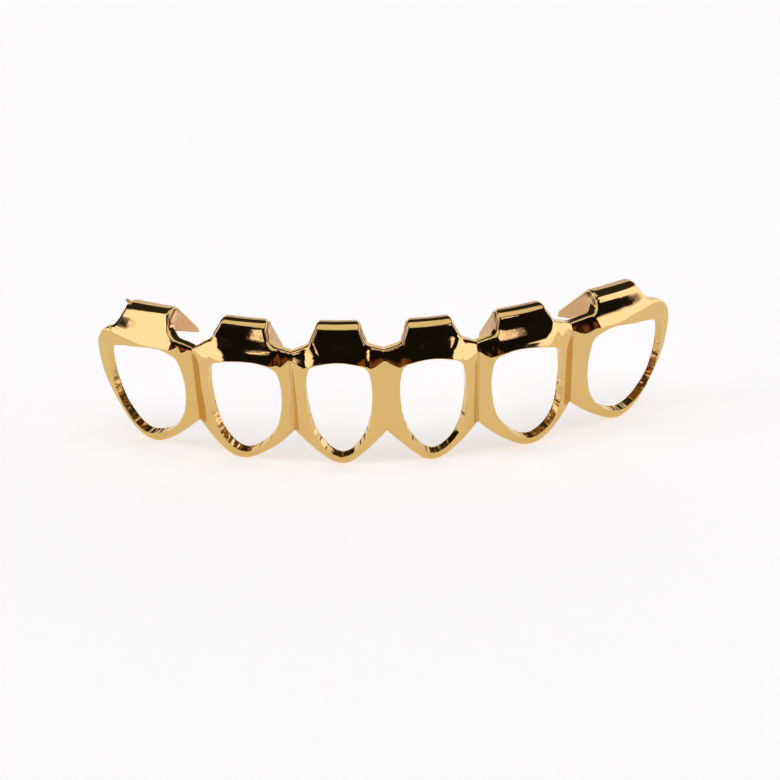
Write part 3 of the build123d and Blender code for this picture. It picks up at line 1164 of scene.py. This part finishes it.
    def add_cheek(self, side: Side) -> None:
        """Adds the plate that closes one side between the tab and its hook.

        Args:
            side: which side of the cap.
        """
        cap = self.cap
        fold = cap.view.fold(cap)
        upper, lower = fold.cheek(cap.cheek_border, cap.cheek_border)
        places = mix(upper, lower, np.linspace(0, 1, CHEEK_ROWS)[:, None, None])
        corner = side.pick(cap.crest_left, cap.crest_right)
        back, height = places[..., 0], places[..., 1]
        over = np.clip((back - fold.centre[0]) / cap.hook_reach, 0, 1)
        past = np.clip((back - fold.tip_back + cap.hook_tip_radius) / cap.hook_tip_radius, 0, 1)
        taper = cap.hook_taper * over + cap.hook_tip_radius * (1 - np.sqrt(1 - past * past))
        flat = corner - side.value * taper
        flared = self.edge_at(side, height)
        behind = np.clip((back - cap.view.back_at(height, Skin.INNER)) / cap.cheek_ease, 0, 1)
        plane = mix(flared, flat, eased(behind))
        depths = (-cap.cheek_proud, cap.cheek_wall)
        outside, inside = (self.fallen(plane - side.value * depth, places) for depth in depths)
        numbers = self.add(np.concatenate([outside, inside[::-1]]))
        numbers = np.concatenate([numbers, numbers[:1]])
        self.pile.quads(numbers, Finish.SATIN)
        for end in (0, -1):
            ring = numbers[:-1, end]
            self.pile.quads(np.stack([ring[:CHEEK_ROWS], ring[CHEEK_ROWS:][::-1]]), Finish.SATIN)

    def chipped(self, rows: list[Points], around: Points) -> list[Points]:
        """Roughens the lower part of a window's wall with file strokes that run straight across it.

        The strokes are drawn about twice as coarse as real ones, which are hardly wider than a pixel of the
        photograph.

        Args:
            rows: rows of the wall, from the outer skin to the inner.
            around: front-view edge points of the window.

        Returns:
            The rows, moved in and out of the metal.
        """
        cap = self.cap
        rng = np.random.default_rng(cap.seed)
        steps = np.linalg.norm(np.roll(around, -1, axis=0) - around, axis=1)
        along = np.concatenate([[0.0], np.cumsum(steps)[:-1]])
        length = float(np.sum(steps))
        normals = np.roll(around, -1, axis=0) - np.roll(around, 1, axis=0)
        normals /= np.linalg.norm(normals, axis=1)[:, None]
        normals = np.stack([normals[:, 1], np.zeros(len(around)), -normals[:, 0]], axis=1)
        low = np.clip((cap.chip_top - around[:, 1]) / cap.chip_fade, 0, 1)
        strokes = np.sort(rng.uniform(0, length, int(length / cap.chip_length)))
        ends = []
        for _ in Skin:
            depths = rng.uniform(0, cap.chip_depth, len(strokes))
            ends.append(np.interp(along, strokes, depths, period=length))
        moved = []
        for number, row in enumerate(rows):
            share = number / (len(rows) - 1)
            depth = mix(ends[0], ends[1], share) * low
            if number < EDGE_STEPS:
                depth = depth * (number + 1) / EDGE_STEPS
            moved.append(row + normals * depth[:, None])
        return moved

    def bevelled(self, edge: Points) -> Points:
        """Moves the window's edge in to where the filed bevel meets the back of the sheet.

        Args:
            edge: front-view points of the window's edge.

        Returns:
            The moved points.
        """
        cap = self.cap
        middle = np.array(((cap.window_left + cap.window_right) / 2, cap.window_middle))
        inwards = middle - edge
        inwards /= np.linalg.norm(inwards, axis=1)[:, None]
        low = np.clip((cap.bevel_top - edge[:, 1]) / cap.bevel_fade, 0, 1)
        return edge + inwards * (cap.window_bevel * low)[:, None]

    def add_window(self, numbers: dict, near: dict, edge: Points) -> None:
        """Adds the window's wall, chipped in its lower part.

        Args:
            numbers: for each skin, numbers of its points along the window.
            near: for each skin, those points.
            edge: front-view points of the window's edge.
        """
        cap = self.cap
        corner = (self.lifted(edge, Skin.OUTER), self.lifted(self.bevelled(edge), Skin.INNER))
        rows = self.wall_rows((near[Skin.OUTER], near[Skin.INNER]), corner, cap.window_edge)
        rows = self.chipped(rows, edge)
        grid = np.array([numbers[Skin.OUTER]] + [self.add(row) for row in rows] + [numbers[Skin.INNER]])
        grid = np.concatenate([grid, grid[:, :1]], axis=1)
        filed = EDGE_STEPS - 1
        self.pile.quads(grid[:filed + 1])
        self.pile.quads(grid[filed:], Finish.FILED)

    def add_nub(self, nub: Nub) -> None:
        """Adds the casting nub on the left corner of the tab.

        Args:
            nub: its form.
        """
        cap = self.cap
        turn = math.radians(nub.lean)
        step = np.array((-math.sin(turn), 0.0, math.cos(turn)))
        across, backwards = np.array((math.cos(turn), 0.0, math.sin(turn))), np.array((0.0, 1.0, 0.0))
        corner = np.array((cap.crest_left, cap.view.fold(cap).centre[0], cap.crest_height))
        root = corner + np.array(nub.root)
        angles = np.linspace(0, 2 * math.pi, nub.sides + 1)[:, None]
        circle = np.cos(angles) * across + np.sin(angles) * backwards
        rings = [root + step * reach + nub.radius * size * circle for reach, size in nub.rings]
        numbers = self.add(np.array(rings)[:, :-1])
        self.pile.quads(np.concatenate([numbers, numbers[:, :1]], axis=1))

    def add_skins(self, near: Points, edge: Points) -> tuple[dict, dict]:
        """Adds the two skins of the face, from the window to the boundary.

        Args:
            near: front-view points of the boundary.
            edge: the window edge points that face them.

        Returns:
            For each skin, the numbers of its points and the points, in rows from the window out.
        """
        shares = np.linspace(0, 1, FACE_ROWS + 1)[:, None, None]
        numbers, points = {}, {}
        for skin, start in ((Skin.OUTER, edge), (Skin.INNER, self.bevelled(edge))):
            away = near - start
            inner_line = start + away / np.linalg.norm(away, axis=1)[:, None] * self.cap.window_edge
            points[skin] = self.lifted(mix(inner_line, near, shares), skin)
            numbers[skin] = self.add(points[skin])
            finish = Finish.PLATE if skin is Skin.OUTER else Finish.CAST
            self.pile.quads(np.concatenate([numbers[skin], numbers[skin][:, :1]], axis=1), finish)
        return numbers, points

    def edge_runs(self, stretches: list[Stretch], numbers: dict, points: dict) -> list[list[Points]]:
        """Adds the tab, and joins the free edges between the grooves to runs.

        Args:
            stretches: stretches round the face.
            numbers: for each skin, the numbers of its points.
            points: for each skin, its points.

        Returns:
            For each run, the numbers, points and edge corners along it, each for the outer and inner skin.
        """
        start = 0
        runs, run = [], None
        for stretch in stretches:
            length = len(stretch.near)
            at = np.arange(start, start + length) % points[Skin.OUTER].shape[1]
            start += length - 1
            if stretch.part is Part.GROOVE:
                if run is not None:
                    runs.append(run)
                run = None
                continue
            if stretch.part is Part.CREASE:
                tab = self.add_tab({s: numbers[s][-1][at] for s in Skin})
                piece = [tab[s][k] for k in range(3) for s in Skin]
            else:
                piece = [numbers[s][-1][at] for s in Skin] + [points[s][-1][at] for s in Skin]
                piece += [self.lifted(stretch.edge, s) for s in Skin]
            run = piece if run is None else [np.concatenate([a, b[1:]]) for a, b in zip(run, piece)]
        return runs

    def build(self) -> None:
        """Adds the whole cap to the pile."""
        stretches = self.boundary()
        near = np.concatenate([s.near[:-1] for s in stretches])
        edge = self.window_edge_for(near)
        numbers, points = self.add_skins(near, edge)
        self.add_window({s: numbers[s][0] for s in Skin}, {s: points[s][0] for s in Skin}, edge)
        for side in Side:
            self.add_cheek(side)
        if self.cap.is_free(Side.LEFT):
            self.add_nub(Nub())
        for out, inn, near_out, near_in, corner_out, corner_in in self.edge_runs(stretches, numbers, points):
            self.add_wall((out, inn), (near_out, near_in), (corner_out, corner_in), self.cap.edge_radius)


@dataclass(frozen=True)
class Relief:
    """One scale of a surface's waviness or grain."""

    size_mm: float
    depth_mm: float
    detail: float
    strength: float = 1.0


@dataclass(frozen=True)
class GoldFinish:
    """Electroplated gold on brass, over one way that the metal under it was left."""

    name: str
    colour: str
    roughness: float
    reliefs: tuple = ()

    def material(self) -> bpy.types.Material:
        """Makes the finish's material.

        Returns:
            The material, with each relief laid over the one before.
        """
        made = bpy.data.materials.new(self.name)
        made.use_nodes = True
        tree = made.node_tree
        shader = tree.nodes["Principled BSDF"]
        shader.inputs["Base Color"].default_value = linear(self.colour)
        shader.inputs["Metallic"].default_value = 1.0
        shader.inputs["Roughness"].default_value = self.roughness
        normals = {}
        for relief in self.reliefs:
            place = add_node(tree, "ShaderNodeTexCoord").outputs["Object"]
            scale = 1 / (relief.size_mm * MM)
            noise = add_node(tree, "ShaderNodeTexNoise", Vector=place, Scale=scale, Detail=relief.detail)
            bump = add_node(
                tree, "ShaderNodeBump", Strength=relief.strength, Distance=relief.depth_mm * MM,
                Height=noise.outputs["Fac"], **normals,
            )
            normals = {"Normal": bump.outputs["Normal"]}
        for name, normal in normals.items():
            tree.links.new(normal, shader.inputs[name])
        return made


@dataclass(frozen=True)
class GoldPlate(GoldFinish):
    """Gold plate over polished brass: a deep yellow mirror, slightly wavy like all small castings.

    The wave bends the reflections over a tooth's width. The finer peel of hand polishing frays their edges.
    """

    name: str = "gold_plated_polished_brass"
    colour: str = "DEB974"
    roughness: float = 0.05
    reliefs: tuple = (Relief(1.3, 0.012, 1.0), Relief(0.22, 0.0016, 2.0))


@dataclass(frozen=True)
class FiledGold(GoldFinish):
    """Gold plate over a wall filed by hand: the same metal, whose strokes in the mesh break the mirror up."""

    name: str = "gold_plated_filed_brass"
    colour: str = "DEB974"
    roughness: float = 0.10


@dataclass(frozen=True)
class SatinGold(GoldFinish):
    """Gold plate over unpolished cast brass: a soft pinkish sheen that shows no clear reflection.

    Its grain of 0.16 mm is drawn about twice as coarse as real, to show at the photograph's scale.
    """

    name: str = "gold_plated_cast_brass"
    colour: str = "D6AB78"
    roughness: float = 0.34
    reliefs: tuple = (Relief(0.16, 0.01, 3.0, 0.4),)


@dataclass(frozen=True)
class CastGoldWithPaintedShade(GoldFinish):
    """Thin gold plate over the rough inside of the casting: dull and brown, and dark in its pores.
    Its dark brown colour is partly the rough cast metal and partly painted shade of the inside of the caps,
    which the filed window walls mirror dark.

    Its pores of 0.3 mm are drawn coarser than real, so that the inside still looks rough from far off.
    """

    name: str = "gold_plated_rough_cast_brass"
    # Darker brown than the plate: partly the rough cast inside, partly painted shade of the inside of the
    # caps.
    colour: str = "A07C40"
    roughness: float = 0.5
    reliefs: tuple = (Relief(0.3, 0.03, 4.0),)


# One column for each cap, from the left end of the row to the right.
CAP_TABLE = {
    "left_angle": (-50.9, -31.5, -14.9, 0.0, 14.9, 31.5),
    "right_angle": (-31.5, -14.9, 0.0, 14.9, 31.5, 52.7),
    "facing": (-41.2, -23.2, -7.45, 7.45, 23.2, 41.4),
    "window_left": (-2.70, -2.00, -1.90, -2.05, -2.60, -3.00),
    "window_right": (3.30, 2.75, 2.10, 2.00, 2.20, 3.50),
    "window_low": (0.10, 0.05, 0.15, -0.10, 0.00, 0.00),
    "left_waist_height": (4.6, 3.8, 3.8, 3.9, 4.0, 3.0),
    "right_waist_height": (3.0, 3.9, 4.0, 3.7, 3.1, 4.0),
    "top_left_drop": (1.65, 1.26, 1.00, 1.00, 1.12, 1.25),
    "top_right_drop": (1.15, 1.16, 1.00, 1.03, 1.32, 1.90),
    "crest_left": (-1.60, -1.28, -1.15, -1.22, -1.50, -1.62),
    "crest_right": (1.75, 1.45, 1.27, 1.30, 1.38, 1.75),
    "crest_rise": (1.03, 1.19, 1.27, 1.23, 1.15, 0.86),
    "hook_reach": (2.65, 3.00, 2.80, 2.75, 3.15, 3.30),
    "hook_tilt": (136.0, 138.0, 138.0, 138.0, 134.0, 129.0),
    "cheek_drop": (0.30, 0.60, 0.60, 0.60, 0.80, 1.15),
    "rim_low": (0.40, -0.15, 0.15, -0.20, 0.05, -0.20),
    "left_sag": (0.00, 0.00, 0.00, 0.00, 0.17, 0.20),
    "right_sag": (0.20, 0.17, 0.00, 0.00, 0.00, 0.00),
    "left_groove_drop": (0.00, 0.88, 0.52, 0.37, 0.43, 0.43),
    "right_groove_drop": (0.88, 0.52, 0.37, 0.43, 0.43, 0.00),
    "seed": (11, 12, 13, 14, 15, 16),
}
CAPS = [Cap(**dict(zip(CAP_TABLE, column))) for column in zip(*CAP_TABLE.values())]


@dataclass
class ToothRow:
    """The whole row of caps, as one piece of metal."""

    caps: list = field(default_factory=lambda: CAPS)

    def build(self) -> bpy.types.Object:
        """Makes the row's mesh and object.

        Returns:
            The object, in the scene and without its finishes.
        """
        pile = MeshPile()
        for cap in self.caps:
            CapShell(cap, pile).build()
        points = np.concatenate(pile.points) * MM
        faces = np.concatenate(pile.faces)
        finishes = np.concatenate(pile.finishes)
        mesh = bpy.data.meshes.new("tooth_row")
        mesh.from_pydata(points.tolist(), [], faces.tolist())
        mesh.polygons.foreach_set("material_index", finishes.astype(np.int32))
        mesh.polygons.foreach_set("use_smooth", finishes != Finish.FILED.value)
        form = bmesh.new()
        form.from_mesh(mesh)
        bmesh.ops.remove_doubles(form, verts=form.verts, dist=MERGE_DISTANCE)
        bmesh.ops.recalc_face_normals(form, faces=form.faces)
        open_edges = sum(1 for e in form.edges if not e.is_manifold)
        form.to_mesh(mesh)
        form.free()
        row = bpy.data.objects.new("tooth_row", mesh)
        bpy.context.scene.collection.objects.link(row)
        log.info("tooth_row: %d faces, %d edges not between two faces", len(mesh.polygons), open_edges)
        return row

    def dress(self, row: bpy.types.Object) -> None:
        """Gives the row its finishes and its place in the frame.

        Args:
            row: the row's object.
        """
        for finish in (GoldPlate(), FiledGold(), SatinGold(), CastGoldWithPaintedShade()):
            row.data.materials.append(finish.material())
        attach(row, "root")
        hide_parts("tooth_cover")


@dataclass(frozen=True)
class Viewpoint:
    """Where the photograph was taken from.

    The aim is the foot of the row's front, and the aim's pixel is where it shows, from the top left corner.
    """

    elevation: float = 23.5
    roll: float = 2.2
    yaw: float = 1.37
    distance: float = 260.0
    pixels_per_mm: float = 16.0
    aim: tuple = (-0.2569, -4.5881, 0.0)
    aim_pixel: tuple = (388.5, 462.5)
    frame: int = 780
    sensor_mm: float = 36.0
    clip: tuple = (0.01, 10.0)

    def make_camera(self) -> bpy.types.Object:
        """Makes the scene's camera.

        Returns:
            The camera.
        """
        e, r, y = (math.radians(v) for v in (self.elevation, self.roll, self.yaw))
        ahead = Vector((math.sin(y) * math.cos(e), math.cos(y) * math.cos(e), -math.sin(e)))
        across = Vector((math.cos(y), -math.sin(y), 0.0))
        up = Vector((math.sin(y) * math.sin(e), math.cos(y) * math.sin(e), math.cos(e)))
        right = across * math.cos(r) - up * math.sin(r)
        upright = across * math.sin(r) + up * math.cos(r)
        focal = self.pixels_per_mm * self.distance
        to_right = self.frame / 2 - self.aim_pixel[0]
        to_top = self.aim_pixel[1] - self.frame / 2
        centre = (ahead * focal + right * to_right + upright * to_top).normalized()
        level = (right - centre * right.dot(centre)).normalized()
        over = level.cross(centre)
        camera = bpy.data.objects.new("camera", bpy.data.cameras.new("camera"))
        camera.data.sensor_width = self.sensor_mm
        camera.data.lens = focal / self.frame * self.sensor_mm
        camera.data.clip_start, camera.data.clip_end = self.clip
        turn = Matrix((level, over, -centre)).transposed().to_4x4()
        place = (Vector(self.aim) - ahead * self.distance) * MM
        camera.matrix_world = Matrix.Translation(place) @ turn
        bpy.context.scene.collection.objects.link(camera)
        bpy.context.scene.camera = camera
        return camera


WHITE = (1.0, 1.0, 1.0)
CREAM = (1.0, 0.90, 1.12)
RUST = (1.0, 0.33, 0.15)


@dataclass(frozen=True)
class Patch:
    """A patch of the room seen from the row.

    Its left and right bounds are in degrees round from the camera's side, its low and high ones up from the
    floor, and its soft widths are half of how far an edge fades.
    """

    light: float
    left: float
    right: float
    low: float
    high: float
    soft: float = 2.0
    soft_top: float = 2.0
    tint: tuple = WHITE

    @property
    def colour(self) -> tuple[float, float, float, float]:
        """Linear colour of the patch's light."""
        return tuple(self.light * share for share in self.tint) + (1.0,)


@dataclass(frozen=True)
class Studio:
    """A pale floor in a pale room, with soft boxes at both sides and a dark room behind the camera.

    The patches are laid over each other in order. Their edges wander by up to the ragged angle, and half as
    much up and down as round, because the hand-polished metal frays what it mirrors. The gap is a dark strip
    of the ceiling behind the row.
    """

    floor_size: float = 3.0
    floor_drop_mm: float = 0.02
    floor_colour: str = "FAFAF8"
    floor_roughness: float = 0.9
    floor_glow: float = 0.53
    room_light: float = 0.95
    ragged: float = 4.0
    ragged_up: float = 0.5
    ragged_scale: float = 14.0
    ragged_detail: float = 4.0
    ragged_range: tuple = (0.3, 0.7)
    patches: tuple = (
        Patch(0.008, -62.0, 62.0, -10.0, 56.0, soft_top=5.0),
        Patch(1.7, 63.0, 125.0, 2.0, 29.0, tint=CREAM),
        Patch(1.7, 50.0, 70.0, -4.0, 22.0, tint=CREAM),
        Patch(1.7, -106.0, -64.0, -4.0, 14.0, tint=CREAM),
        Patch(1.7, -72.0, -59.0, 2.0, 20.0, tint=CREAM),
        Patch(1.7, -99.0, -74.0, 10.0, 40.0, tint=CREAM),
        Patch(0.01, -74.0, -60.0, 24.0, 56.0),
        Patch(1.7, -45.0, -39.0, 36.0, 43.0, tint=CREAM),
        Patch(1.5, 38.0, 56.0, 43.5, 50.0, soft=1.0, tint=CREAM),
        Patch(0.01, -150.0, -99.0, 14.0, 60.0),
        Patch(0.01, 58.0, 104.0, 25.0, 52.0),
        Patch(0.24, 22.0, 42.0, 3.0, 9.0, tint=RUST),
        Patch(0.24, -46.0, -27.0, 1.0, 8.0, tint=RUST),
        Patch(0.24, -12.0, 10.0, 3.0, 8.0, tint=RUST),
    )
    gap_light: float = 0.03
    gap: tuple = (107.0, 145.0)
    gap_soft: tuple = (1.5, 3.0)
    gap_up: tuple = (30.0, 95.0)
    gap_up_soft: tuple = (3.0, 3.0)

    def make_floor(self) -> None:
        """Makes the floor."""
        mesh = bpy.data.meshes.new("floor")
        half = self.floor_size / 2
        corners = [(-half, -half, 0), (half, -half, 0), (half, half, 0), (-half, half, 0)]
        mesh.from_pydata(corners, [], [(0, 1, 2, 3)])
        floor = bpy.data.objects.new("floor", mesh)
        floor.location.z = -self.floor_drop_mm * MM
        bpy.context.scene.collection.objects.link(floor)
        paint = bpy.data.materials.new("matt_white_paper")
        paint.use_nodes = True
        shader = paint.node_tree.nodes["Principled BSDF"]
        shader.inputs["Base Color"].default_value = linear(self.floor_colour)
        shader.inputs["Roughness"].default_value = self.floor_roughness
        shader.inputs["Emission Color"].default_value = linear(self.floor_colour)
        shader.inputs["Emission Strength"].default_value = self.floor_glow
        mesh.materials.append(paint)

    def between(self, tree: bpy.types.NodeTree, angle: bpy.types.NodeSocket, bounds: tuple,
                soft: tuple) -> bpy.types.NodeSocket:
        """Adds nodes that give one between two angles and zero outside, with soft ends.

        Args:
            tree: the world's node tree.
            angle: socket that gives the angle in radians.
            bounds: lower and upper bound in degrees.
            soft: half the width of the lower and of the upper end in degrees.

        Returns:
            Socket with the share.
        """
        ends = []
        for bound, width in zip(bounds, (soft[0], -soft[1])):
            ends.append(add_node(
                tree, "ShaderNodeMapRange", {"interpolation_type": "SMOOTHSTEP"}, in0=angle,
                in1=math.radians(bound - width), in2=math.radians(bound + width),
            ).outputs[0])
        both = add_node(tree, "ShaderNodeMath", {"operation": "MULTIPLY"}, in0=ends[0], in1=ends[1])
        return both.outputs[0]

    def laid_over(self, tree: bpy.types.NodeTree, level: object, shares: tuple,
                  colour: tuple) -> bpy.types.NodeSocket:
        """Adds nodes that lay a colour over the room where two bands of angles cross.

        Args:
            tree: the world's node tree.
            level: the room's light so far, a socket or a colour.
            shares: sockets with the shares of the two bands.
            colour: linear colour to lay over it.

        Returns:
            Socket with the room's light.
        """
        share = add_node(tree, "ShaderNodeMath", {"operation": "MULTIPLY"}, in0=shares[0], in1=shares[1])
        mixed = add_node(
            tree, "ShaderNodeMix", {"data_type": "RGBA"}, in0=share.outputs[0], in6=level, in7=colour
        )
        return mixed.outputs[2]

    def angles(self, tree: bpy.types.NodeTree) -> tuple:
        """Adds nodes that give the direction in which the room is seen.

        Args:
            tree: the world's node tree.

        Returns:
            Sockets with three angles in radians: round from the camera's side and up, both with ragged edges,
            and over the row from front to back.
        """
        place = add_node(tree, "ShaderNodeTexCoord").outputs["Generated"]
        x, y, z = add_node(tree, "ShaderNodeSeparateXYZ", Vector=place).outputs
        front = add_node(tree, "ShaderNodeMath", {"operation": "MULTIPLY"}, in0=y, in1=-1.0).outputs[0]
        turn = add_node(tree, "ShaderNodeMath", {"operation": "ARCTAN2"}, in0=x, in1=front).outputs[0]
        rise = add_node(tree, "ShaderNodeMath", {"operation": "ARCSINE"}, in0=z).outputs[0]
        over = add_node(tree, "ShaderNodeMath", {"operation": "ARCTAN2"}, in0=z, in1=front).outputs[0]
        noise = add_node(
            tree, "ShaderNodeTexNoise", Vector=place, Scale=self.ragged_scale, Detail=self.ragged_detail
        )
        reach = math.radians(self.ragged)
        low, high = self.ragged_range
        wander = add_node(
            tree, "ShaderNodeMapRange", in0=noise.outputs["Fac"], in1=low, in2=high, in3=-reach, in4=reach
        ).outputs[0]
        turn = add_node(tree, "ShaderNodeMath", in0=turn, in1=wander).outputs[0]
        rise = add_node(
            tree, "ShaderNodeMath", {"operation": "MULTIPLY_ADD"}, in0=wander, in1=self.ragged_up, in2=rise
        ).outputs[0]
        return turn, rise, over

    def make_room(self) -> None:
        """Lights the room: bright all round, with its patches and a dark gap overhead."""
        world = bpy.data.worlds.new("room")
        bpy.context.scene.world = world
        world.use_nodes = True
        tree = world.node_tree
        tree.nodes.clear()
        turn, rise, over = self.angles(tree)
        level = (self.room_light,) * 3 + (1.0,)
        for patch in self.patches:
            across = self.between(tree, turn, (patch.left, patch.right), (patch.soft, patch.soft))
            upward = self.between(tree, rise, (patch.low, patch.high), (patch.soft, patch.soft_top))
            level = self.laid_over(tree, level, (across, upward), patch.colour)
        gap = self.between(tree, over, self.gap, self.gap_soft)
        upward = self.between(tree, rise, self.gap_up, self.gap_up_soft)
        level = self.laid_over(tree, level, (gap, upward), (self.gap_light,) * 3 + (1.0,))
        light = add_node(tree, "ShaderNodeBackground", Color=level)
        out = add_node(tree, "ShaderNodeOutputWorld")
        tree.links.new(light.outputs[0], out.inputs["Surface"])


def main() -> None:
    """Builds the row and its studio, and reports each piece."""
    logging.basicConfig(level=logging.INFO, format="%(message)s")
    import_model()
    Viewpoint().make_camera()
    row = ToothRow()
    piece = row.build()
    row.dress(piece)
    log.info("tooth_row rides on root")
    studio = Studio()
    studio.make_floor()
    studio.make_room()
    bpy.context.scene.view_settings.view_transform = "Standard"
    log.info("studio: floor and room light")


if __name__ == "__main__":
    main()
